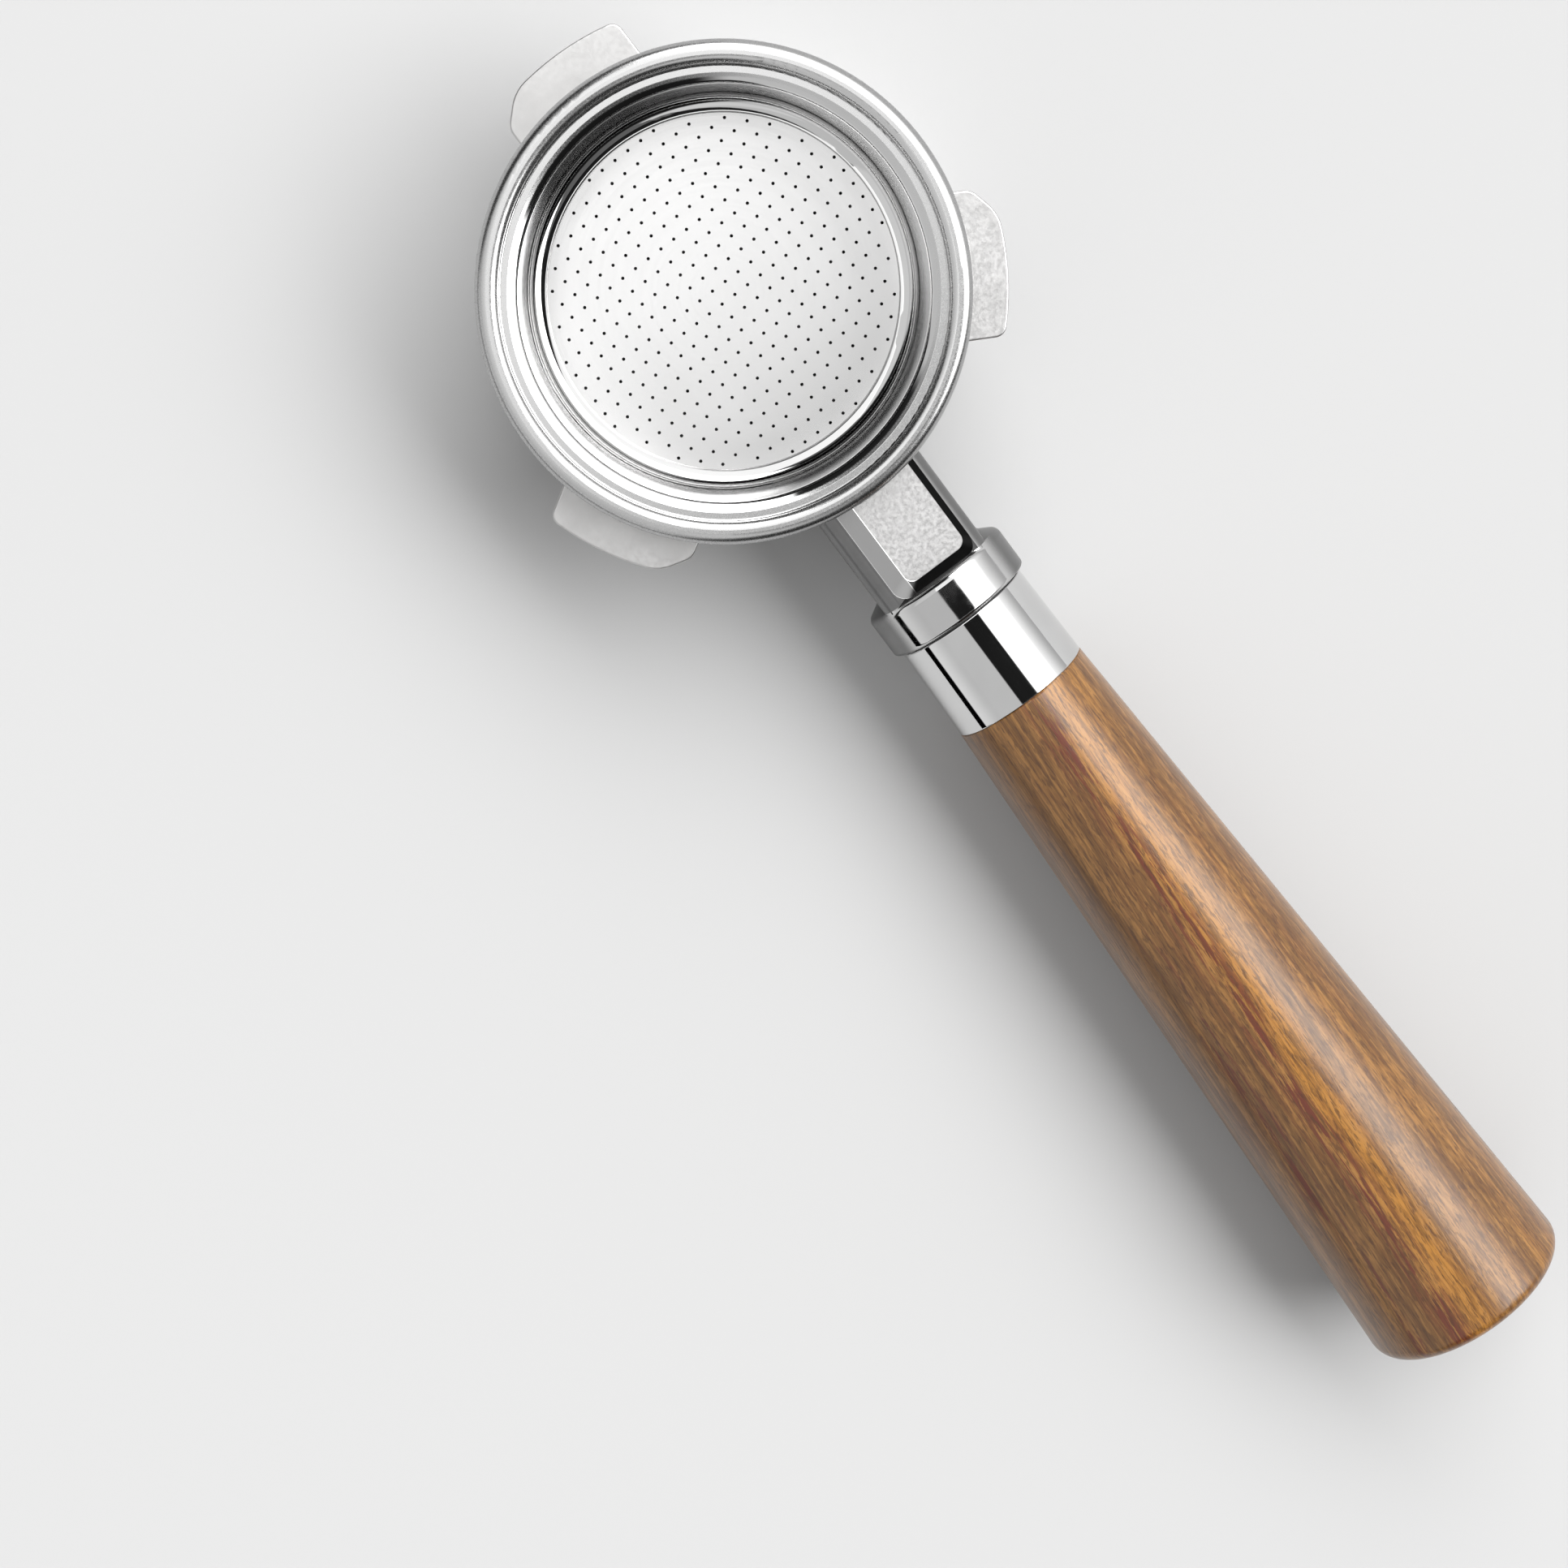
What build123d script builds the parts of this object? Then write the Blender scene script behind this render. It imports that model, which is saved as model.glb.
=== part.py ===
from build123d import *
import math
import os

# A bottomless portafilter for a 58 mm espresso group. Millimetres.
# The ring stands on the Z axis, its top face lies at z = 0, and the handle runs along -Y.

# Filter basket
BASKET_BORE = 58.6          # inside diameter, for a 58 mm tamper
BASKET_SHEET = 0.7
BASKET_FLOOR_SHEET = 0.9
BASKET_DEPTH = 23.4         # from the ring's top face to the floor's upper face
BASKET_CORNER = 2.5         # inside radius between wall and floor
FLOOR_RADIUS = 26.5         # the flat floor stands slightly proud of the channel around it
CHANNEL_DEPTH = 0.25
RIM_DIAMETER = 70.8
RIM_ROLL = 3.3              # width of the rolled rim
RIM_HEIGHT = 3.0
SHELF_HEIGHT = 1.7          # narrow shelf between the roll and the funnel mouth
FUNNEL = 1.5                # width of the funnel mouth above the bore
FUNNEL_HEIGHT = 0.9
HOLE_PITCH = 2.4
HOLE_FIELD = 10.85          # radius of the drilled field, in pitches
HOLE_DIAMETER = 0.5
DIMPLE_DIAMETER = 1.65      # round countersink under each hole
DIMPLE_DEPTH = 0.6

# Ring
RING_TOP_DIAMETER = 68.8
RING_BOTTOM_DIAMETER = 66.6
RING_BORE = 60.8
RING_MOUTH = 62.4           # the bore opens out at the bottom
RING_HEIGHT = 30.5
RING_LIP = 1.0

# Retaining clip, a sprung wire in a groove inside the ring
CLIP_Z = -9.0
CLIP_WIRE = 1.4
CLIP_RADIUS = 30.75         # of the wire's centre line
CLIP_ARC = 325.0
CLIP_GROOVE = 1.1           # depth and half-height of the groove in the ring
BASKET_GROOVE = 0.2         # depth of the shallow groove that the wire snaps into

# Lugs
LUG_RADIUS = 41.2
LUG_TOP = -6.0
LUG_THICKNESS = 3.0
LUG_FIRST = 91.0            # direction of the lug opposite the handle
LUG_COUNT = 3
LUG_ROOT = 33.3             # the lugs start inside the ring's wall
LUG_PLAN = [                # radius, angle and rounding of each corner, leading end first
    (LUG_ROOT, 18, 0),
    (35.5, 16.2, 1.0),
    (38.5, 14.8, 2.5),
    (42.5, 6, 0),
    (44, -4, 0),
    (43.5, -15.4, 0),
    (34, -19.8, 0),
    (LUG_ROOT, -20, 0),
]
LUG_NOSE = (8.5, 6.0)       # angle and rounding where the leading end meets the outside
LUG_TAIL = (-16.3, 1.8)     # the same at the trailing end
LUG_TOP_EDGE = 0.3
LUG_UNDER_EDGE = 0.7
RAMP_RADIUS = 38.0          # outside of the thick ramp under each lug
RAMP_LOW = 1.2
RAMP_HIGH = 7.5
RAMP_PLAN = [(LUG_ROOT, 14.5), (40, 13.5), (41, -3), (40, -17.2), (LUG_ROOT, -18.5)]
RAMP_ARC = 31.0             # angle from the thin end to the thick end
RAMP_CORNER = (-17.6, 1.2)  # angle and rounding of the thick end's outer edge

# Neck and collar
AXIS_Z = -14.0              # height of the handle's axis
NECK_WIDTH = 18.3
NECK_TOP = 9.0              # above the handle's axis
NECK_START = 31.5           # inside the ring's wall
NECK_ROOT = 37.2            # where the underside meets the plane of the ring's bottom
NECK_END = 52.0
NECK_CORNER = 2.8
COLLAR_RADIUS = 11.85
COLLAR_BLEND = 50.2         # the neck starts to flare out
COLLAR_FRONT = 51.9
COLLAR_BACK = 58.5          # from the ring's axis to the collar's end face
POCKET_FLOOR = 7.7          # above the handle's axis
POCKET_RISE = 1.3           # from the floor to the outline of the pocket's mouth
POCKET_LOW = (-3.6, 6.7, 50.1)   # floor: left side, right side, end
POCKET_HIGH = (-6.3, 8.1, 51.5)  # mouth: left side, right side, end

# Thread between head and handle: M10 x 1.5
STUD_RADIUS = 5.0
RUNNING = 0.05              # radial clearance of the thread
LOOSE = 0.4                 # radial clearance of the washers on the stud
STUD_IN_HEAD = 21.0
STUD_END = 104.0

# Handle, as distances from the ring's axis along the handle
JOINT_WASHER = 0.3          # thickness of the washer between collar and ferrule
JOINT_WASHER_RADIUS = 10.5
FERRULE_BACK = 74.0
FERRULE_FRONT_RADIUS = 10.75
FERRULE_BACK_RADIUS = 11.1
WEB_FRONT = 68.0            # web of the ferrule, clamped between nut and wood
WEB_BACK = 70.0
RECESS_RADIUS = 9.6         # recess in front of the web, for the nut and its washers
TENON_RADIUS = 8.8          # wooden tenon inside the ferrule
GLUE_GAP = 0.05             # around the tenon and the insert
FLAT_WASHER_RADIUS = 9.0
FLAT_WASHER = 1.6
SPRING_WASHER_RADIUS = 8.6
SPRING_WASHER = 2.2
SPRING_WASHER_SPLIT = 1.2
NUT_HEIGHT = 4.0
NUT_FLATS = 16.0
INSERT_RADIUS = 7.4
INSERT_FLANGE_RADIUS = 8.2
BUTT_CORNER = 193.7
BUTT_END = 197.2
BUTT_RADIUS = 16.95
BUTT_ROUNDING = 2.5


STANDING = (Align.CENTER, Align.CENTER, Align.MIN)
HANGING = (Align.CENTER, Align.CENTER, Align.MAX)


def outline(*corners):
    """A closed face in the XZ plane from (x, z, rounding) corners."""
    points = [Vector(x, 0, z) for x, z, _ in corners]
    starts, ends, edges = [], [], []
    for i, here in enumerate(points):
        rounding = corners[i][2]
        back = (points[i - 1] - here).normalized()
        ahead = (points[(i + 1) % len(points)] - here).normalized()
        half = math.radians(back.get_angle(ahead)) / 2
        reach = rounding / math.tan(half)
        starts.append(here + back * reach)
        ends.append(here + ahead * reach)
        if rounding:
            inward = (back + ahead).normalized()
            middle = here + inward * (rounding / math.sin(half) - rounding)
            edges.append(ThreePointArc(starts[-1], middle, ends[-1]))
    for i, end in enumerate(ends):
        following = starts[(i + 1) % len(points)]
        if (following - end).length > 1e-6:
            edges.append(Line(end, following))
    return make_face(edges)


def turned(*corners):
    """A solid of revolution about Z from (radius, z, rounding) corners."""
    return revolve(outline(*corners), Axis.Z)


def on_handle(shape):
    """Lays a shape built along +Z onto the handle's axis, with its stations along -Y."""
    return Pos(0, 0, AXIS_Z) * Rot(90, 0, 0) * shape


def rod(radius, start, end):
    """A cylinder between two stations of the handle, still standing on Z."""
    return Pos(0, 0, start) * Cylinder(radius, end - start, align=STANDING)


# ---------------------------------------------------------------- filter basket

def hole_places():
    """Centres of the drilled field, a square grid with its middle between four holes."""
    reach = math.ceil(HOLE_FIELD)
    steps = [(i + 0.5) * HOLE_PITCH for i in range(-reach, reach)]
    limit = HOLE_FIELD * HOLE_PITCH
    return [Pos(x, y, 0) for x in steps for y in steps if math.hypot(x, y) <= limit]


def filter_basket():
    bore = BASKET_BORE / 2
    wall = bore + BASKET_SHEET
    floor = -BASKET_DEPTH
    under = floor - BASKET_FLOOR_SHEET
    rim = RIM_DIAMETER / 2
    shell = turned(
        (0, floor, 0),
        (FLOOR_RADIUS, floor, 0.12),
        (FLOOR_RADIUS + 0.12, floor - CHANNEL_DEPTH, 0.1),
        (bore, floor - CHANNEL_DEPTH, BASKET_CORNER),
        (bore, FUNNEL_HEIGHT, 0.9),
        (bore + FUNNEL, SHELF_HEIGHT, 0.15),
        (rim - RIM_ROLL - 0.15, SHELF_HEIGHT, 0.3),
        (rim - RIM_ROLL, RIM_HEIGHT, 1.25),
        (rim, RIM_HEIGHT, 1.7),
        (rim, 0, 1.2),
        (wall, 0, 0.6),
        (wall, CLIP_Z + CLIP_WIRE, 0),
        (wall - BASKET_GROOVE, CLIP_Z, 1.5),
        (wall, CLIP_Z - CLIP_WIRE, 0),
        (wall, under, BASKET_CORNER + 0.7),
        (0, under, 0),
    )
    drill = Cylinder(HOLE_DIAMETER / 2, 4)
    half = DIMPLE_DIAMETER / 2
    ball = (half ** 2 + DIMPLE_DEPTH ** 2) / (2 * DIMPLE_DEPTH)
    dimple = Pos(0, 0, DIMPLE_DEPTH - ball) * Sphere(ball)
    cutter = Pos(0, 0, under) * (drill + dimple)
    return shell - [place * cutter for place in hole_places()]


def basket_spring():
    """The round wire clip, open at one side so that it can be squeezed into its groove."""
    section = Pos(CLIP_RADIUS, 0, CLIP_Z) * Rot(90, 0, 0) * Circle(CLIP_WIRE / 2)
    return Rot(0, 0, 20) * revolve(section, Axis.Z, CLIP_ARC)


# ---------------------------------------------------------------- head

def ring():
    top = RING_TOP_DIAMETER / 2
    bottom = RING_BOTTOM_DIAMETER / 2
    bore = RING_BORE / 2
    groove = bore + CLIP_GROOVE
    return turned(
        (bore, 0, 1.0),
        (top, 0, 0.5),
        (bottom, -RING_HEIGHT, RING_LIP),
        (RING_MOUTH / 2, -RING_HEIGHT, 0.7),
        (bore, -RING_HEIGHT + 5, 0),
        (bore, CLIP_Z - CLIP_GROOVE, 0),
        (groove, CLIP_Z - CLIP_GROOVE, 0),
        (groove, CLIP_Z + CLIP_GROOVE, 0),
        (bore, CLIP_Z + CLIP_GROOVE, 0),
    )


def polar(radius, angle):
    return Vector(radius, 0, 0).rotate(Axis.Z, angle)


def sector(radius, corners, bottom, top):
    """A block whose plan follows polar corners and whose outside is a cylinder."""
    face = make_face(Polyline(*[polar(r, a) for r, a in corners], close=True))
    block = Pos(0, 0, bottom) * extrude(face, top - bottom)
    return block & rod(radius, bottom - 1, top + 1)


def round_corner(block, radius, angle, rounding):
    """Rounds the upright edge that stands at a polar place."""
    place = polar(radius, angle)
    upright = [
        edge for edge in block.edges().filter_by(Axis.Z)
        if math.hypot(edge.center().X - place.X, edge.center().Y - place.Y) < 0.3
    ]
    return fillet(upright, rounding)


def rim_edges(block, level):
    """The edges round a lug at one level, apart from those inside the ring's wall."""
    return [
        edge for edge in block.edges()
        if abs(edge.center().Z - level) < 0.01
        and math.hypot(edge.center().X, edge.center().Y) > LUG_ROOT + 0.5
    ]


def lug():
    """One lug about +X: a flat plate over a ramp that thickens towards the trailing end."""
    under = LUG_TOP - LUG_THICKNESS
    plate = sector(LUG_RADIUS, [(r, a) for r, a, _ in LUG_PLAN], under, LUG_TOP)
    for radius, angle, rounding in LUG_PLAN:
        if rounding:
            plate = round_corner(plate, radius, angle, rounding)
    for angle, rounding in (LUG_NOSE, LUG_TAIL):
        plate = round_corner(plate, LUG_RADIUS, angle, rounding)
    plate = fillet(rim_edges(plate, under), LUG_UNDER_EDGE)
    plate = fillet(rim_edges(plate, LUG_TOP), LUG_TOP_EDGE)
    rise = RAMP_HIGH - RAMP_LOW
    ramp = sector(RAMP_RADIUS, RAMP_PLAN, under - 2 * RAMP_HIGH, under + 0.5)
    ramp = round_corner(ramp, RAMP_RADIUS, *RAMP_CORNER)
    slope = math.degrees(math.atan(rise / (RAMP_RADIUS * math.radians(RAMP_ARC))))
    thin_end = polar(RAMP_RADIUS, RAMP_PLAN[0][1])
    below = Pos(0, thin_end.Y, under - RAMP_LOW) * Rot(slope, 0, 0) * Box(120, 120, 40, align=HANGING)
    return plate + (ramp - below)


def neck_section(station, bottom, bottom_corner):
    """Rounded section of the neck at a distance from the ring's axis."""
    half = NECK_WIDTH / 2
    top = AXIS_Z + NECK_TOP
    return Pos(0, -station, 0) * outline(
        (-half, bottom, bottom_corner),
        (half, bottom, bottom_corner),
        (half, top, NECK_CORNER),
        (-half, top, NECK_CORNER),
    )


def neck():
    """A neck that is deep where it leaves the ring and almost round where it meets the collar."""
    end_bottom = AXIS_Z - NECK_WIDTH / 2
    rise = (end_bottom + RING_HEIGHT) / (NECK_END - NECK_ROOT)
    start_bottom = -RING_HEIGHT - rise * (NECK_ROOT - NECK_START)
    return loft([
        neck_section(NECK_START, start_bottom, NECK_CORNER),
        neck_section(NECK_END, end_bottom, NECK_WIDTH / 2 - 0.2),
    ])


def collar():
    half = NECK_WIDTH / 2
    return on_handle(turned(
        (0, COLLAR_BLEND - 4, 0),
        (half - 0.25, COLLAR_BLEND - 4, 0),
        (half - 0.2, COLLAR_BLEND, 1.8),
        (COLLAR_RADIUS, COLLAR_FRONT, 1.3),
        (COLLAR_RADIUS, COLLAR_BACK, 0.6),
        (0, COLLAR_BACK, 0),
    ))


def pocket_outline(left, right, end, height, corner):
    """One level of the pocket, from inside the ring's wall to its far end."""
    middle = Pos((left + right) / 2, -(NECK_START + end) / 2, height)
    return middle * RectangleRounded(right - left, end - NECK_START, corner)


def pocket():
    """The pocket in the neck's upper side, from the ring's wall to the collar.

    It has a flat floor, one steep side and one sloping side, and is open above its mouth.
    """
    floor = AXIS_Z + POCKET_FLOOR
    low = pocket_outline(*POCKET_LOW, floor, 1.6)
    high = pocket_outline(*POCKET_HIGH, floor + POCKET_RISE, 2.2)
    top = RING_TOP_DIAMETER / 2
    bottom = RING_BOTTOM_DIAMETER / 2
    ring_blank = turned((0, 0, 0), (top, 0, 0), (bottom, -RING_HEIGHT, 0), (0, -RING_HEIGHT, 0))
    return loft([low, high]) + extrude(high, COLLAR_RADIUS) - ring_blank


def portafilter_head():
    body = ring() + neck() + collar()
    for i in range(LUG_COUNT):
        body = body + Rot(0, 0, LUG_FIRST + 360 / LUG_COUNT * i) * lug()
    body = body - pocket()
    body = body - Pos(0, 0, -RING_HEIGHT) * Box(200, 200, 40, align=HANGING)
    thread_end = COLLAR_BACK - STUD_IN_HEAD - 1
    return body - on_handle(rod(STUD_RADIUS + RUNNING, thread_end, COLLAR_BACK + 1))


# ---------------------------------------------------------------- handle

def loose_ring(outer, thickness, start):
    """A washer that hangs freely on the stud."""
    return rod(outer, start, start + thickness) - rod(STUD_RADIUS + LOOSE, start, start + thickness)


def joint_washer():
    return on_handle(loose_ring(JOINT_WASHER_RADIUS, JOINT_WASHER, COLLAR_BACK))


def ferrule():
    front = COLLAR_BACK + JOINT_WASHER
    socket = TENON_RADIUS + GLUE_GAP
    hole = STUD_RADIUS + LOOSE
    return on_handle(turned(
        (RECESS_RADIUS, front, 0.2),
        (FERRULE_FRONT_RADIUS, front, 0.3),
        (FERRULE_BACK_RADIUS, FERRULE_BACK, 0.2),
        (socket, FERRULE_BACK, 0),
        (socket, WEB_BACK, 0),
        (hole, WEB_BACK, 0),
        (hole, WEB_FRONT, 0),
        (RECESS_RADIUS, WEB_FRONT, 0),
    ))


def flat_washer():
    return on_handle(loose_ring(FLAT_WASHER_RADIUS, FLAT_WASHER, WEB_FRONT - FLAT_WASHER))


def spring_washer():
    """A split ring, cut through at a slant."""
    start = WEB_FRONT - FLAT_WASHER - SPRING_WASHER
    split = Pos(SPRING_WASHER_RADIUS - 1, 0, start) * Rot(30, 0, 0) * Box(6, SPRING_WASHER_SPLIT, 12)
    return on_handle(loose_ring(SPRING_WASHER_RADIUS, SPRING_WASHER, start) - split)


def lock_nut():
    """A thin hexagon nut with its corners chamfered on both faces."""
    end = WEB_FRONT - FLAT_WASHER - SPRING_WASHER
    start = end - NUT_HEIGHT
    hexagon = extrude(RegularPolygon(NUT_FLATS / 2, 6, major_radius=False), NUT_HEIGHT)
    bevel = NUT_FLATS / 2 * 0.15
    edge = NUT_FLATS / 2 + bevel
    envelope = turned(
        (0, 0, 0),
        (NUT_FLATS / 2 * 0.98, 0, 0),
        (edge, bevel * 0.6, 0),
        (edge, NUT_HEIGHT - bevel * 0.6, 0),
        (NUT_FLATS / 2 * 0.98, NUT_HEIGHT, 0),
        (0, NUT_HEIGHT, 0),
    )
    return on_handle(Pos(0, 0, start) * (hexagon & envelope) - rod(STUD_RADIUS + RUNNING, start, end))


def handle_stud():
    start = COLLAR_BACK - STUD_IN_HEAD
    return on_handle(turned(
        (0, start, 0),
        (STUD_RADIUS - 1, start, 0),
        (STUD_RADIUS, start + 1, 0),
        (STUD_RADIUS, STUD_END - 1, 0),
        (STUD_RADIUS - 1, STUD_END, 0),
        (0, STUD_END, 0),
    ))


def wood_insert():
    """The threaded bush in the wood, with a flange under the ferrule's web."""
    bore = STUD_RADIUS + RUNNING
    return on_handle(turned(
        (bore, WEB_BACK, 0),
        (INSERT_FLANGE_RADIUS, WEB_BACK, 0),
        (INSERT_FLANGE_RADIUS, WEB_BACK + 1, 0),
        (INSERT_RADIUS, WEB_BACK + 1, 0),
        (INSERT_RADIUS, STUD_END, 0),
        (bore, STUD_END, 0),
    ))


def wooden_handle():
    """Turned wood: a short tenon, a straight taper and a softly domed butt."""
    bore = INSERT_RADIUS + GLUE_GAP
    flange = INSERT_FLANGE_RADIUS + GLUE_GAP
    return on_handle(turned(
        (flange, WEB_BACK, 0),
        (TENON_RADIUS, WEB_BACK, 0),
        (TENON_RADIUS, FERRULE_BACK, 0),
        (FERRULE_BACK_RADIUS, FERRULE_BACK, 0.3),
        (BUTT_RADIUS, BUTT_CORNER, BUTT_ROUNDING),
        (BUTT_RADIUS * 0.6, BUTT_END - 0.4, 9),
        (0, BUTT_END, 0),
        (0, STUD_END + 3, 0),
        (bore, STUD_END + 1, 0),
        (bore, WEB_BACK + 1 + GLUE_GAP, 0),
        (flange, WEB_BACK + 1 + GLUE_GAP, 0),
    ))


PIECES = (
    portafilter_head,
    filter_basket,
    basket_spring,
    joint_washer,
    ferrule,
    flat_washer,
    spring_washer,
    lock_nut,
    handle_stud,
    wood_insert,
    wooden_handle,
)

if __name__ == "__main__":
    os.makedirs("parts", exist_ok=True)
    for piece in PIECES:
        export_step(piece(), f"parts/{piece.__name__}.step")
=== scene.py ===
import math

import bmesh
import bpy
from mathutils import Matrix, Vector


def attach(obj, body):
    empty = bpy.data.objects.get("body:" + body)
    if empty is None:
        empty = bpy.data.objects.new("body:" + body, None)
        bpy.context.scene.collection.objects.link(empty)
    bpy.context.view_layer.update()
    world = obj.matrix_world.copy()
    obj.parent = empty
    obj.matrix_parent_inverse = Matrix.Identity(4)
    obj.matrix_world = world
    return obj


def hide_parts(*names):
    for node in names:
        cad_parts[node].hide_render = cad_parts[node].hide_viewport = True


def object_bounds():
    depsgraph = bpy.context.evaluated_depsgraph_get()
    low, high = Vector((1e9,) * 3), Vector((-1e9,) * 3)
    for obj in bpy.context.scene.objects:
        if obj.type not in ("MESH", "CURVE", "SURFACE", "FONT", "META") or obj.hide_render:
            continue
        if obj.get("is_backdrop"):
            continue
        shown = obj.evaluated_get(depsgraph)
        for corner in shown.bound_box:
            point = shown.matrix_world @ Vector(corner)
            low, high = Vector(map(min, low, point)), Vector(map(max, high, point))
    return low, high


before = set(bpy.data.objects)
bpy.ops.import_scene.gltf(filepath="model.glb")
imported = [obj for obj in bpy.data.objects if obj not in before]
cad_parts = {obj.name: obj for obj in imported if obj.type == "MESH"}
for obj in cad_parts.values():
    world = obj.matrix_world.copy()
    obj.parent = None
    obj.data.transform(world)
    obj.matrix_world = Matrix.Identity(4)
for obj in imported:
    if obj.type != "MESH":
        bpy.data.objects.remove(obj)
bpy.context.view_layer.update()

# Sizes are in millimetres of the row frame, unless a comment says otherwise.
MM = 0.001
AXIS_Z = -14.0  # height of the handle's axis


# ------------------------------------------------------------------ node helpers


class Nodes:
    """A node tree, with short calls for the nodes used here."""

    def __init__(self, tree):
        self.tree = tree

    def add(self, kind, inputs=None, **settings):
        node = self.tree.nodes.new(kind)
        for name, value in settings.items():
            setattr(node, name, value)
        for name, value in (inputs or {}).items():
            self.put(node.inputs[name], value)
        return node

    def put(self, socket, value):
        if isinstance(value, bpy.types.NodeSocket):
            self.tree.links.new(value, socket)
        elif isinstance(value, bpy.types.Node):
            self.tree.links.new(value.outputs[0], socket)
        else:
            socket.default_value = value

    # numbers

    def math(self, operation, a, b=0.0):
        return self.add("ShaderNodeMath", {0: a, 1: b}, operation=operation).outputs[0]

    def product(self, *values):
        result = values[0]
        for value in values[1:]:
            result = self.math("MULTIPLY", result, value)
        return result

    def length(self, a, b):
        return self.math("SQRT", self.math("ADD", self.product(a, a), self.product(b, b)))

    def blend(self, factor, a, b):
        """Mixes two numbers."""
        return self.add("ShaderNodeMix", {0: factor, 2: a, 3: b}, data_type="FLOAT").outputs[0]

    # masks

    def smooth(self, value, low, high, out_low=0.0, out_high=1.0):
        """Maps value smoothly from low..high to out_low..out_high."""
        node = self.add(
            "ShaderNodeMapRange",
            {"Value": value, "From Min": low, "From Max": high, "To Min": out_low, "To Max": out_high},
            interpolation_type="SMOOTHSTEP",
        )
        return node.outputs[0]

    def within(self, value, low, high, soft):
        """1 where value lies between low and high, with soft edges."""
        rise = self.smooth(value, low - soft, low + soft)
        fall = self.smooth(value, high + soft, high - soft)
        return self.product(rise, fall)

    def around(self, value, centre, reach, core):
        """1 where value lies within core of the centre, falling to 0 at reach."""
        away = self.math("ABSOLUTE", self.math("SUBTRACT", value, centre))
        return self.smooth(away, reach, core)

    # places

    def place(self):
        """The point on the object, in millimetres of the row frame."""
        point = self.add("ShaderNodeTexCoord").outputs["Object"]
        scaled = self.add("ShaderNodeVectorMath", operation="SCALE")
        self.put(scaled.inputs[0], point)
        scaled.inputs["Scale"].default_value = 1 / MM
        return scaled.outputs[0]

    def split(self, vector):
        return self.add("ShaderNodeSeparateXYZ", {"Vector": vector}).outputs

    def joined(self, x=0.0, y=0.0, z=0.0):
        return self.add("ShaderNodeCombineXYZ", {"X": x, "Y": y, "Z": z}).outputs[0]

    def drawn_out(self, x, y, z, share):
        """A place for noise whose lines run along y, the longer the smaller the share of y."""
        return self.joined(x, self.math("MULTIPLY", y, share), z)

    # patterns, colours and relief

    def noise(self, vector, scale, detail=2.0, roughness=0.5, distortion=0.0):
        node = self.add(
            "ShaderNodeTexNoise",
            {
                "Vector": vector,
                "Scale": scale,
                "Detail": detail,
                "Roughness": roughness,
                "Distortion": distortion,
            },
        )
        return node.outputs[0]

    def mix(self, factor, a, b):
        """Mixes two colours."""
        return self.add("ShaderNodeMix", {0: factor, 6: a, 7: b}, data_type="RGBA").outputs[2]

    def bump(self, height, strength, distance, normal=None):
        """Relief of the given depth in millimetres, on top of the normal if there is one."""
        inputs = {"Height": height, "Strength": strength, "Distance": distance * MM}
        node = self.add("ShaderNodeBump", inputs)
        if normal is not None:
            self.put(node.inputs["Normal"], normal)
        return node.outputs[0]


def material(name, **sockets):
    """A new material: returns it, its nodes and its shader, with plain values set on the shader."""
    made = bpy.data.materials.new(name)
    made.use_nodes = True
    shader = made.node_tree.nodes["Principled BSDF"]
    for socket, value in sockets.items():
        shader.inputs[socket.replace("_", " ")].default_value = value
    return made, Nodes(made.node_tree), shader


def grey(value, warmth=0.0):
    return (value * (1 + warmth), value, value * (1 - warmth), 1.0)


# ------------------------------------------------------------------ metals

# Where finishes meet. Two numbers are a ramp, 0 at the first and 1 at the second; three are a
# span between the first two, with edges as soft as the third.

# the casting
OUTSIDE_RING = (34.7, 35.0)  # radius about z
LUG_TOP_Z = (-6.5, -5.0, 0.1)
LUGS_Y = (-30.0, -29.0)
NECK_RADIUS = (35.0, 35.3)
NECK_Y = (-33.0, -34.0)
POCKET_FLOOR_Z = (-6.40, -6.26, 0.02)
POCKET_FLOOR_X = (-3.66, 6.76, 0.03)
POCKET_SLOPE_Z = (-6.29, -5.02, 0.02)
POCKET_SLOPE_X = (-6.6, -3.6, 0.1)
POCKET_STEEP_Z = (-6.27, -5.03, 0.02)
POCKET_STEEP_X = (-3.5, 7.70, 0.06)
FACET_Z = (-30.35, -30.45)
FACET_Y = (-32.9, -33.2)
COLLAR_RADIUS = (10.6, 10.9)  # about the handle's axis
COLLAR_Y = (-51.5, -51.6)
COLLAR_TOP_X = (-8.9, 9.4, 1.0)
COLLAR_END_Y = (-58.3, -58.5)

# the basket
FLOOR_RADIUS = (26.6, 26.45)
FLOOR_Z = (-23.7, -23.5)
RIM_RADIUS = (31.7, 32.2)
RIM_Z = (0.0, 0.6)
SHELF_RADIUS = (30.2, 31.9, 0.2)
SHELF_Z = (1.3, 1.5)
WALL_INNER_RADIUS = (28.8, 29.0)
WALL_OUTER_RADIUS = (29.9, 29.7)
WALL_Z = (-20.8, 0.2, 0.3)
WALL_PAINTED_SHADE_X = (27.0, 20.0)  # painted shade on the wall: distance from x = 0, leaving the ±X sides bright
SPECKLED_EDGE_RADIUS = (33.6, 35.3)


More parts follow.
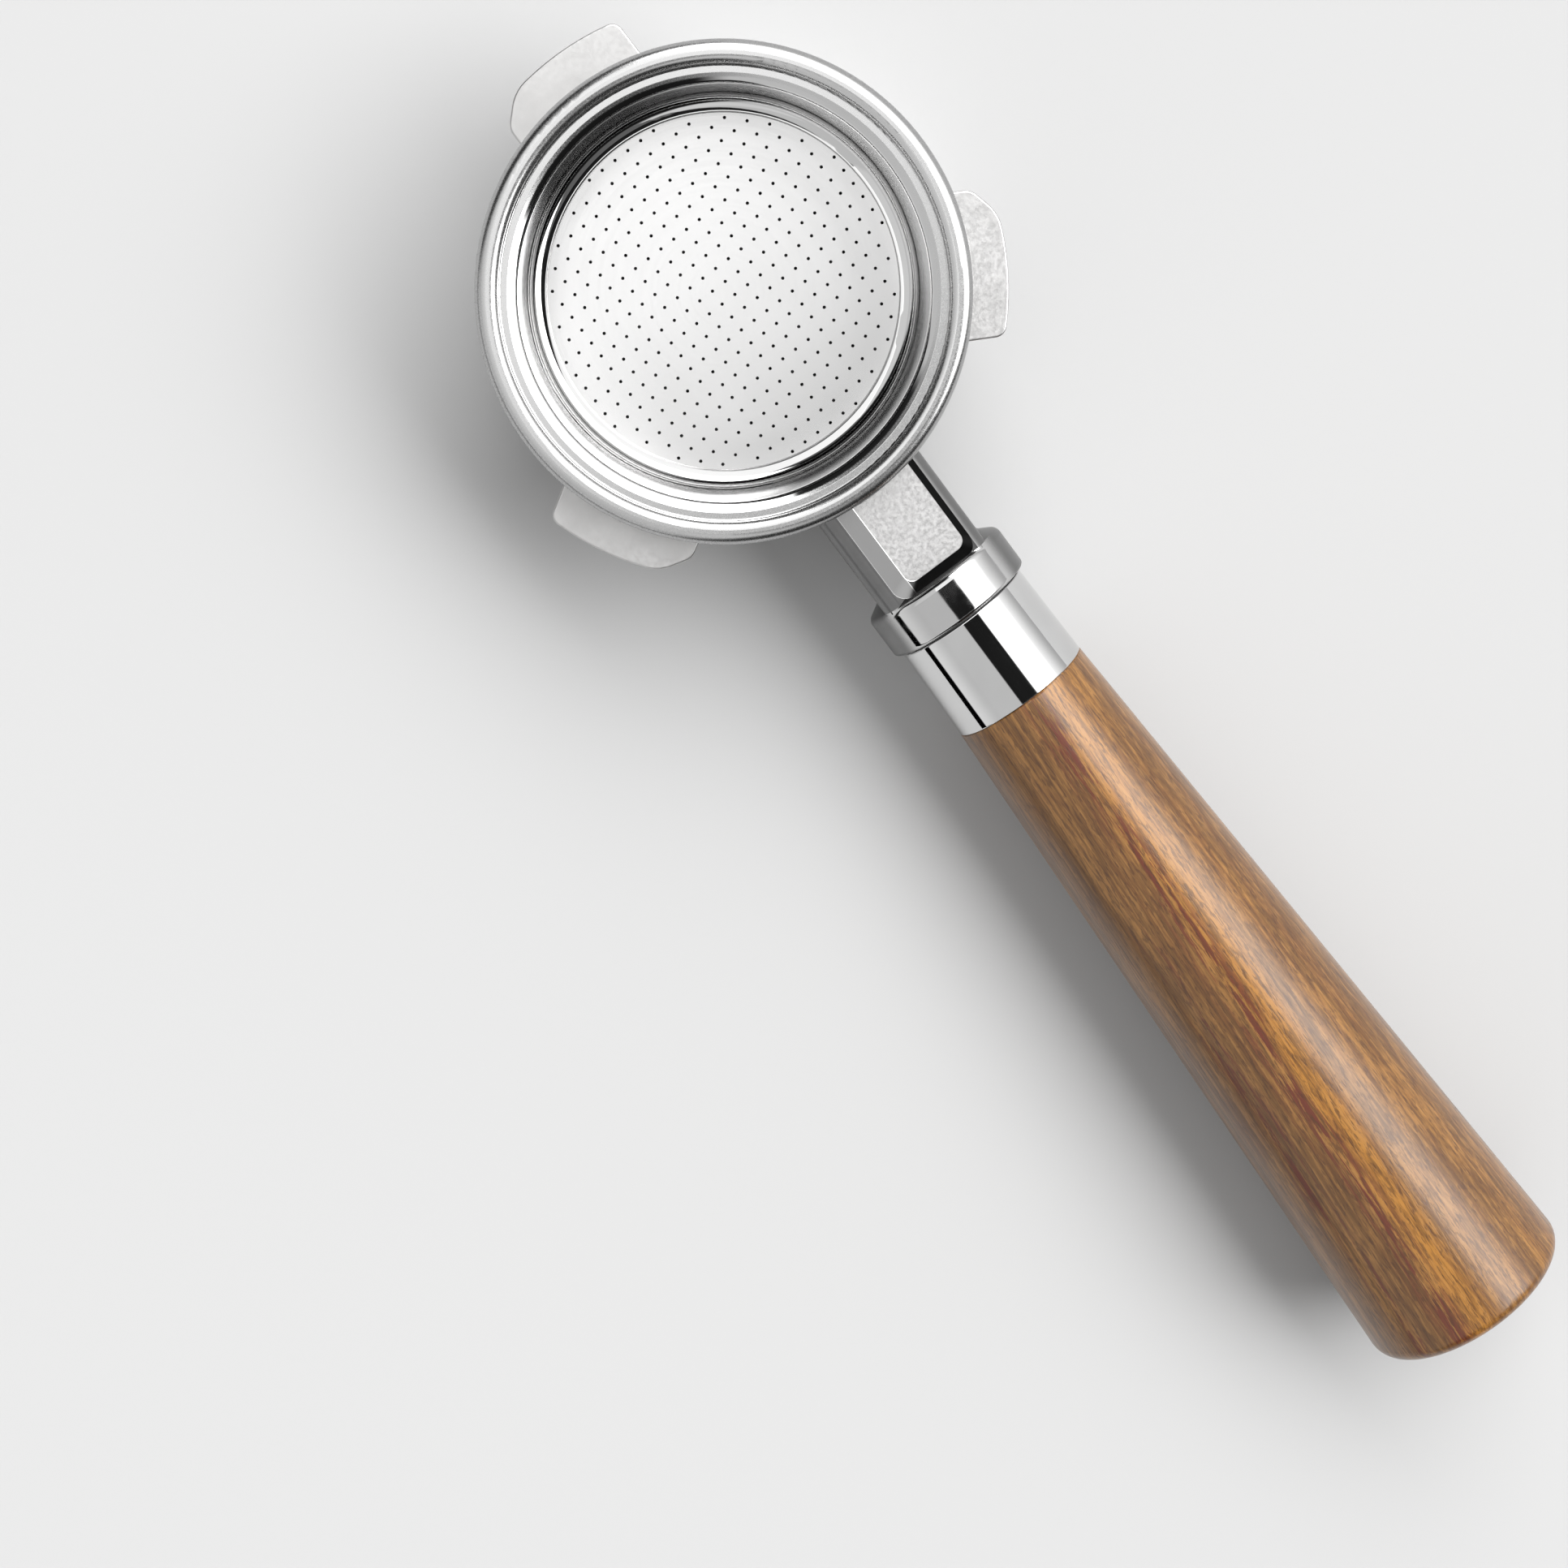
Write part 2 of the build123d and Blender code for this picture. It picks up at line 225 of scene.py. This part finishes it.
def polished_steel():
    """The casting.

    Ring and collar are polished; the neck and the collar's shoulders are satin, with painted shade making
    their colour far darker, and the pocket's walls carry darker painted shade still.
    The lugs' tops and the pocket's floor are matt, with patches of painted shade on the lugs' tops, and a
    cutter left its marks on the facet under the neck.
    """
    made, n, shader = material("polished_steel", Metallic=1.0)
    point = n.place()
    x, y, z = n.split(point)
    radius = n.length(x, y)
    from_axis = n.length(x, n.math("SUBTRACT", z, AXIS_Z))

    behind_ring = n.smooth(y, *NECK_Y)
    lug_top = n.product(n.smooth(radius, *OUTSIDE_RING), n.within(z, *LUG_TOP_Z), n.smooth(y, *LUGS_Y))
    pocket = n.product(n.within(z, *POCKET_FLOOR_Z), n.within(x, *POCKET_FLOOR_X), behind_ring)
    slope = n.product(n.within(z, *POCKET_SLOPE_Z), n.within(x, *POCKET_SLOPE_X), behind_ring)
    steep = n.product(n.within(z, *POCKET_STEEP_Z), n.within(x, *POCKET_STEEP_X), behind_ring)
    facet = n.product(n.smooth(z, *FACET_Z), n.smooth(y, *FACET_Y))
    matt = n.math("MAXIMUM", lug_top, pocket)

    # the wheel has polished the collar's top and end, and left the neck and the shoulders satin
    wheel = n.math("MAXIMUM", n.within(x, *COLLAR_TOP_X), n.smooth(y, *COLLAR_END_Y))
    collar = n.product(n.smooth(y, *COLLAR_Y), n.smooth(from_axis, *COLLAR_RADIUS), wheel)
    neck = n.product(n.smooth(radius, *NECK_RADIUS), behind_ring)
    satin_part = n.product(neck, n.math("SUBTRACT", 1.0, n.math("MAXIMUM", collar, pocket)))

    haze = n.noise(point, scale=0.10, detail=3.0, roughness=0.6)
    cloud = n.noise(point, scale=0.35, detail=3.0, roughness=0.6)
    smear = n.noise(point, scale=0.25, detail=4.0, roughness=0.6)
    fine = n.noise(point, scale=1.6, detail=4.0, roughness=0.65)
    sand = n.noise(point, scale=6.0, detail=3.0, roughness=0.7)

    polished = n.mix(haze, grey(0.56, 0.004), grey(0.64, 0.002))
    # painted shade: the satin neck and shoulders get a far darker colour than the polished steel
    satin = n.mix(cloud, grey(0.17, 0.004), grey(0.23, 0.004))
    # painted shade: the pocket's sloping wall darker, its steep walls near black
    satin = n.mix(slope, satin, grey(0.075, 0.004))
    satin = n.mix(steep, satin, grey(0.025))
    pale = n.mix(fine, grey(0.60, 0.010), grey(0.74, 0.006))
    # painted shade: the lugs' tops darkened in patches
    lug_painted_shade = n.product(lug_top, n.smooth(haze, 0.3, 0.7, 0.25, 0.55))
    pale = n.mix(lug_painted_shade, pale, grey(0.45, 0.01))
    n.put(shader.inputs["Base Color"], n.mix(matt, n.mix(satin_part, polished, satin), pale))

    rough = n.blend(satin_part, n.smooth(smear, 0.35, 0.7, 0.05, 0.11), 0.33)
    rough = n.blend(matt, rough, n.smooth(fine, 0.3, 0.7, 0.30, 0.42))
    rough = n.blend(facet, rough, 0.32)
    n.put(shader.inputs["Roughness"], rough)

    chatter_place = n.joined(n.math("MULTIPLY", x, 0.9), n.math("MULTIPLY", y, 2.6), 0.0)
    chatter = n.noise(chatter_place, scale=1.0, detail=3.0, roughness=0.6, distortion=0.8)
    waves = n.noise(point, scale=0.22, detail=2.0, roughness=0.4)
    normal = n.bump(waves, strength=0.35, distance=0.06)
    normal = n.bump(sand, strength=n.product(matt, 0.5), distance=0.012, normal=normal)
    chatter = n.smooth(chatter, 0.42, 0.62)
    normal = n.bump(chatter, strength=n.product(facet, 0.9), distance=0.12, normal=normal)
    n.put(shader.inputs["Normal"], normal)
    return made


def basket_steel():
    """Bright sheet: a polished wall with painted shade away from its ±X sides, a rolled rim darker and
    dented in speckles towards its outer edge, and a satin floor.
    """
    made, n, shader = material("basket_steel", Metallic=1.0)
    point = n.place()
    x, y, z = n.split(point)
    radius = n.length(x, y)

    floor_part = n.product(n.smooth(radius, *FLOOR_RADIUS), n.smooth(z, *FLOOR_Z))
    rim = n.product(n.smooth(radius, *RIM_RADIUS), n.smooth(z, *RIM_Z))
    shelf = n.product(n.within(radius, *SHELF_RADIUS), n.smooth(z, *SHELF_Z))
    rim_or_shelf = n.math("MAXIMUM", rim, shelf)
    outer_rim = n.product(rim, n.smooth(radius, *SPECKLED_EDGE_RADIUS))
    inside = n.product(n.smooth(radius, *WALL_INNER_RADIUS), n.smooth(radius, *WALL_OUTER_RADIUS))
    wall_part = n.product(inside, n.within(z, *WALL_Z))

    turned_lines = n.noise(n.drawn_out(radius, x, z, 0.02), scale=1.6, detail=3.0, roughness=0.7)
    cloud = n.noise(point, scale=0.09, detail=3.0, roughness=0.6)
    speckle = n.noise(point, scale=4.5, detail=2.0, roughness=0.8)

    sheet = n.mix(cloud, grey(0.62, 0.004), grey(0.70, 0.001))
    # painted shade: the inside wall near black except towards its ±X sides
    sheet = n.mix(n.product(wall_part, n.around(x, 0.0, *WALL_PAINTED_SHADE_X)), sheet, grey(0.09))
    sheet = n.mix(rim_or_shelf, sheet, grey(0.62, 0.002))
    # darker towards the rim's outer edge, in speckles
    sheet = n.mix(n.product(outer_rim, n.smooth(speckle, 0.35, 0.65, 0.35, 0.75)), sheet, grey(0.27))
    floor_colour = n.mix(cloud, grey(0.78, 0.005), grey(0.86, 0.002))
    n.put(shader.inputs["Base Color"], n.mix(floor_part, sheet, floor_colour))

    rough = n.math("ADD", n.smooth(cloud, 0.3, 0.7, 0.04, 0.06), n.product(wall_part, 0.07))
    rough = n.blend(rim_or_shelf, rough, n.smooth(speckle, 0.45, 0.75, 0.24, 0.34))
    rough = n.blend(floor_part, rough, n.smooth(turned_lines, 0.3, 0.7, 0.24, 0.27))
    n.put(shader.inputs["Roughness"], rough)

    dents = n.smooth(speckle, 0.55, 0.75)
    normal = n.bump(dents, strength=n.product(outer_rim, 0.4), distance=0.01)
    n.put(shader.inputs["Normal"], normal)
    return made


def chrome_plate():
    """Mirror chrome with the faint lengthwise lines of its polishing."""
    made, n, shader = material("chrome_plate", Metallic=1.0)
    point = n.place()
    x, y, z = n.split(point)
    lines = n.noise(n.drawn_out(x, y, z, 0.02), scale=2.4, detail=4.0, roughness=0.7)
    colour = n.mix(n.noise(point, scale=0.2), grey(0.64, 0.002), grey(0.70))
    n.put(shader.inputs["Base Color"], colour)
    n.put(shader.inputs["Roughness"], n.smooth(lines, 0.4, 0.75, 0.025, 0.07))
    n.put(shader.inputs["Normal"], n.bump(lines, strength=0.12, distance=0.006))
    return made


def turned_metal(name, dark, light, smoothest, roughest):
    """Plain machined or plated metal: cloudy colour and roughness over a fine grain."""
    made, n, shader = material(name, Metallic=1.0)
    point = n.place()
    cloud = n.noise(point, scale=0.5, detail=4.0, roughness=0.6)
    fine = n.noise(point, scale=5.0, detail=3.0, roughness=0.7)
    n.put(shader.inputs["Base Color"], n.mix(cloud, dark, light))
    n.put(shader.inputs["Roughness"], n.smooth(fine, 0.3, 0.7, smoothest, roughest))
    n.put(shader.inputs["Normal"], n.bump(fine, strength=0.4, distance=0.01))
    return made


# ------------------------------------------------------------------ fibre and wood


def fibre():
    """The thin black washer between head and handle."""
    made, n, shader = material("black_fibre")
    speckle = n.noise(n.place(), scale=6.0, detail=3.0, roughness=0.7)
    n.put(shader.inputs["Base Color"], n.mix(speckle, grey(0.012), grey(0.035)))
    n.put(shader.inputs["Roughness"], n.smooth(speckle, 0.3, 0.7, 0.5, 0.7))
    n.put(shader.inputs["Normal"], n.bump(speckle, strength=0.5, distance=0.02))
    return made


# the log the handle was turned from
GRAIN_SLANT = 0.048  # sideways run of the grain for each millimetre along the handle
GRAIN_STATION = -74.0  # y where the slanting grain crosses the handle's axis
PITH_SIDE, PITH_HEIGHT = -26.0, 33.0  # from the handle's axis
RING_SWAY = 9.0  # how far the growth rings wander

# the streaks along the middle of the handle, by their distance from a line in the grain
STREAK_LINE = 1.0
STREAK_SWAY = 0.35  # share of the rings' sway that the streaks follow
RED_STREAK = (0.0, 3.6, 0.3)  # centre, reach and core
LOW_RED_STREAK = (-6.5, 2.6, 0.3)
LOW_RED_Y = (-100.0, -125.0)  # ramp
GOLD_STREAK = (3.2, 4.2, 0.8)

BROWN = (0.150, 0.068, 0.017, 1.0)
TAN = (0.235, 0.108, 0.025, 1.0)
GOLD = (0.380, 0.165, 0.026, 1.0)
BAND_BROWN = (0.125, 0.044, 0.010, 1.0)
LATE_WOOD = (0.075, 0.032, 0.008, 1.0)
EARLY_WOOD = (0.340, 0.168, 0.046, 1.0)
RED = (0.100, 0.017, 0.008, 1.0)
FLECK_BROWN = (0.085, 0.032, 0.008, 1.0)
PORE_BROWN = (0.055, 0.020, 0.006, 1.0)


def wood():
    """Varnished tropical hardwood: long streaks, growth bands that the turning cuts across, pores."""
    made, n, shader = material(
        "wood", Specular_IOR_Level=0.12, Coat_Weight=1.0, Coat_Roughness=0.30, Coat_IOR=1.5
    )
    x, y, z = n.split(n.place())
    z = n.math("SUBTRACT", z, AXIS_Z)

    # the log's own frame: its pith lies beside the handle, and its grain slants a little to it
    slant = n.math("MULTIPLY", n.math("SUBTRACT", y, GRAIN_STATION), GRAIN_SLANT)
    side = n.math("SUBTRACT", x, slant)
    slow = n.joined(
        n.math("MULTIPLY", side, 0.06), n.math("MULTIPLY", y, 0.016), n.math("MULTIPLY", z, 0.06)
    )
    wander = n.math("SUBTRACT", n.noise(slow, scale=1.0), 0.5)
    sway = n.math("MULTIPLY", wander, RING_SWAY)
    from_pith = n.length(n.math("SUBTRACT", side, PITH_SIDE), n.math("SUBTRACT", z, PITH_HEIGHT))
    ring_place = n.drawn_out(n.math("ADD", from_pith, sway), y, 0.0, 0.02)

    def along_grain(share, scale, **settings):
        """Noise that is drawn out along the grain."""
        return n.noise(n.drawn_out(side, y, z, share), scale, **settings)

    bands = n.noise(ring_place, scale=0.62, detail=4.0, roughness=0.66)
    streaks = along_grain(0.030, 1.5, detail=5.0, roughness=0.70, distortion=0.12)
    strand = along_grain(0.045, 1.15, detail=5.0, roughness=0.74, distortion=0.4)
    pores = n.smooth(along_grain(0.13, 3.2, detail=2.0, roughness=0.6), 0.54, 0.62)
    fleck = n.smooth(along_grain(0.06, 2.6, detail=4.0, roughness=0.75), 0.48, 0.58)
    patch = n.smooth(along_grain(0.12, 0.22, detail=3.0, roughness=0.6), 0.44, 0.60)

    # dark red streaks of late wood gather in the middle of the handle, with gold beside them
    from_line = n.math("ADD", side, n.math("MULTIPLY", sway, STREAK_SWAY))
    from_line = n.math("SUBTRACT", from_line, STREAK_LINE)
    red = n.product(n.around(from_line, *RED_STREAK), n.smooth(strand, 0.47, 0.55))
    low_red = n.product(n.around(from_line, *LOW_RED_STREAK), n.smooth(y, *LOW_RED_Y))
    low_red = n.product(low_red, n.smooth(strand, 0.50, 0.57))
    gold = n.around(from_line, *GOLD_STREAK)

    layers = [
        (gold, 0.75, GOLD),
        (n.smooth(bands, 0.50, 0.60), 0.50, BAND_BROWN),
        (n.smooth(streaks, 0.50, 0.60), 0.60, LATE_WOOD),
        (n.smooth(streaks, 0.50, 0.38), 0.45, EARLY_WOOD),
        (n.math("MAXIMUM", red, low_red), 0.95, RED),
        (fleck, 0.45, FLECK_BROWN),
        (pores, 0.58, PORE_BROWN),
    ]
    colour = n.mix(patch, BROWN, TAN)
    for mask, strength, layer in layers:
        colour = n.mix(n.product(mask, strength), colour, layer)
    n.put(shader.inputs["Base Color"], colour)
    n.put(shader.inputs["Roughness"], n.smooth(streaks, 0.3, 0.7, 0.45, 0.58))

    relief = n.math("SUBTRACT", streaks, n.math("MULTIPLY", pores, 0.8))
    n.put(shader.inputs["Normal"], n.bump(relief, strength=0.45, distance=0.03))
    n.put(shader.inputs["Coat Normal"], n.bump(relief, strength=0.18, distance=0.03))
    return made


# ------------------------------------------------------------------ looks of the pieces

ZINC = (grey(0.42, 0.01), grey(0.58, 0.02))
DARK_ZINC = (grey(0.30, 0.01), grey(0.45, 0.01))
SPRING_STEEL = (grey(0.40), grey(0.55))
BRASS = ((0.60, 0.40, 0.15, 1.0), (0.78, 0.57, 0.26, 1.0))

LOOKS = {
    "portafilter_head": polished_steel(),
    "filter_basket": basket_steel(),
    "basket_spring": turned_metal("spring_steel", *SPRING_STEEL, 0.2, 0.35),
    "joint_washer": fibre(),
    "ferrule": chrome_plate(),
    "flat_washer": turned_metal("zinc_washer", *ZINC, 0.25, 0.4),
    "spring_washer": turned_metal("zinc_spring", *DARK_ZINC, 0.3, 0.45),
    "lock_nut": turned_metal("zinc_nut", *ZINC, 0.25, 0.4),
    "handle_stud": turned_metal("zinc_stud", *ZINC, 0.22, 0.38),
    "wood_insert": turned_metal("brass", *BRASS, 0.2, 0.35),
    "wooden_handle": wood(),
}
for name, look in LOOKS.items():
    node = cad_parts[name]
    node.data.materials.clear()
    node.data.materials.append(look)


# ------------------------------------------------------------------ the stud's thread

COLUMNS = 72  # points around the thread
ROWS_PER_TURN = 12
CREST_SHARE = 0.12  # of half a turn, flat at the crest
FLANK_SHARE = 0.72  # of half a turn, from crest to root


def thread_depth(turns):
    """Depth of a V thread with flat crest and root, 0 to 1, after that many turns."""
    place = abs((turns % 1.0) - 0.5) * 2.0
    return min(max((place - CREST_SHARE) / FLANK_SHARE, 0.0), 1.0)


def threaded(name, start, end, crest, root, pitch, chamfer, look, body):
    """A rod with a helical thread, about the handle's axis, between two stations along it.

    The radius goes from crest to root, and narrows by the chamfer towards each end.
    """
    rows = round((end - start) / pitch * ROWS_PER_TURN)
    mesh = bpy.data.meshes.new(name)
    build = bmesh.new()
    grid = []
    for row in range(rows + 1):
        station = start + (end - start) * row / rows
        near_end = min(station - start, end - station)
        line = []
        for column in range(COLUMNS):
            angle = 2 * math.pi * column / COLUMNS
            depth = thread_depth(station / pitch - column / COLUMNS)
            radius = min(crest + (root - crest) * depth, crest - chamfer + near_end)
            place = (radius * math.cos(angle), -station, AXIS_Z + radius * math.sin(angle))
            line.append(build.verts.new(Vector(place) * MM))
        grid.append(line)
    for here, ahead in zip(grid, grid[1:]):
        for column in range(COLUMNS):
            beside = (column + 1) % COLUMNS
            build.faces.new((here[column], here[beside], ahead[beside], ahead[column]))
    build.faces.new(grid[0])
    build.faces.new(grid[-1])
    bmesh.ops.recalc_face_normals(build, faces=build.faces)
    for face in build.faces:
        face.smooth = len(face.verts) == 4
    build.to_mesh(mesh)
    build.free()
    mesh.materials.append(look)
    obj = bpy.data.objects.new(name, mesh)
    bpy.context.scene.collection.objects.link(obj)
    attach(obj, body)
    return obj


stud = threaded(
    "threaded_stud",
    start=37.5,
    end=104.0,
    crest=4.98,
    root=4.30,
    pitch=1.5,
    chamfer=0.8,
    look=LOOKS["handle_stud"],
    body="handle",
)
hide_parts("handle_stud")


# ------------------------------------------------------------------ stage, light, camera

FLOOR_HALF = 8.0  # metres
FLOOR_GAP = 0.0001  # metres under the object

# The soft boxes stand above the object like parts of a tunnel along y. Tilt is the angle about
# that tunnel in degrees: 0 overhead, -90 and 90 at the -X and +X horizons. Ends are in the
# direction's y, from -1 to 1. Spans and ramps are written as for the finishes above.
DEGREES = 57.2958
LEFT_TILT, LEFT_ENDS = (-80.0, -9.0, 1.0), (-0.66, 0.66, 0.04)
RIGHT_ENDS = (-0.66, 0.80, 0.04)
RIGHT_CORE_NEAR, RIGHT_CORE_FAR = (19.0, 26.0), (66.0, 44.0)
RIGHT_TILT = (21.0, 93.0, 2.0)
TOP_TILT, TOP_ENDS = (-10.0, 21.0, 1.0), (-0.065, 0.62, 0.01)
LEFT_LIGHT = (-80.0, -50.0, 0.95, 0.70)  # from tilt to tilt, from strength to strength
RIGHT_LIGHT = (48.0, 92.0, 1.7, 0.55)
RIGHT_CORE_LIGHT = 5.0
TOP_LIGHT = 1.25
ROOM_LIGHT = (0.62, 0.70, 0.012, 0.16)  # from z to z, from strength to strength
GAP_PLACE = -0.2  # y of a dark gap across the room's ceiling
GAP_LIGHT = (0.13, 0.16, 0.1, 1.0)  # from distance to distance, from share to share

# the camera that sees the object as the photograph does
LENS, SENSOR = 66.28, 36.0
CAMERA_PLACE = (2.4284, 6.6795, 416.5383)
CAMERA_RIGHT = (0.7992, -0.6005, 0.0253)
CAMERA_UP = (0.5942, 0.7832, -0.1829)


def floor():
    low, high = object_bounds()
    mesh = bpy.data.meshes.new("floor")
    half, z = FLOOR_HALF, low[2] - FLOOR_GAP
    corners = [(-half, -half, z), (half, -half, z), (half, half, z), (-half, half, z)]
    mesh.from_pydata(corners, [], [(0, 1, 2, 3)])
    obj = bpy.data.objects.new("floor", mesh)
    bpy.context.scene.collection.objects.link(obj)
    made, _, _ = material("floor", Base_Color=grey(0.47), Roughness=0.8, Specular_IOR_Level=0.2)
    mesh.materials.append(made)
    obj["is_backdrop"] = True


def studio_world():
    """A soft box on the left, one on the right with a brighter core, and one overhead, in a dark room."""
    world = bpy.data.worlds.new("studio")
    bpy.context.scene.world = world
    world.use_nodes = True
    n = Nodes(world.node_tree)
    x, y, z = n.split(n.add("ShaderNodeTexCoord").outputs["Generated"])
    tilt = n.math("MULTIPLY", n.math("ARCTAN2", x, z), DEGREES)

    left = n.product(n.within(tilt, *LEFT_TILT), n.within(y, *LEFT_ENDS))
    right_ends = n.within(y, *RIGHT_ENDS)
    right = n.product(n.within(tilt, *RIGHT_TILT), right_ends)
    core = n.product(n.smooth(tilt, *RIGHT_CORE_NEAR), n.smooth(tilt, *RIGHT_CORE_FAR), right_ends)
    top = n.product(n.within(tilt, *TOP_TILT), n.within(y, *TOP_ENDS))
    from_gap = n.math("ABSOLUTE", n.math("SUBTRACT", y, GAP_PLACE))

    level = n.product(n.smooth(z, *ROOM_LIGHT), n.smooth(from_gap, *GAP_LIGHT))
    lights = [
        (left, n.smooth(tilt, *LEFT_LIGHT)),
        (core, RIGHT_CORE_LIGHT),
        (right, n.smooth(tilt, *RIGHT_LIGHT)),
        (top, TOP_LIGHT),
    ]
    for box, strength in lights:
        level = n.math("ADD", level, n.product(box, strength))
    background = world.node_tree.nodes["Background"]
    n.put(background.inputs["Color"], n.joined(level, level, level))
    background.inputs["Strength"].default_value = 1.0


def camera():
    data = bpy.data.cameras.new("camera")
    data.sensor_width = SENSOR
    data.lens = LENS
    data.clip_start = 0.01
    obj = bpy.data.objects.new("camera", data)
    bpy.context.scene.collection.objects.link(obj)
    right, up = Vector(CAMERA_RIGHT), Vector(CAMERA_UP)
    back = right.cross(up).normalized()
    up = back.cross(right).normalized()
    turn = Matrix((right.normalized(), up, back)).transposed()
    obj.matrix_world = Matrix.Translation(Vector(CAMERA_PLACE) * MM) @ turn.to_4x4()
    bpy.context.scene.camera = obj


floor()
studio_world()
camera()
bpy.context.scene.view_settings.view_transform = "Standard"
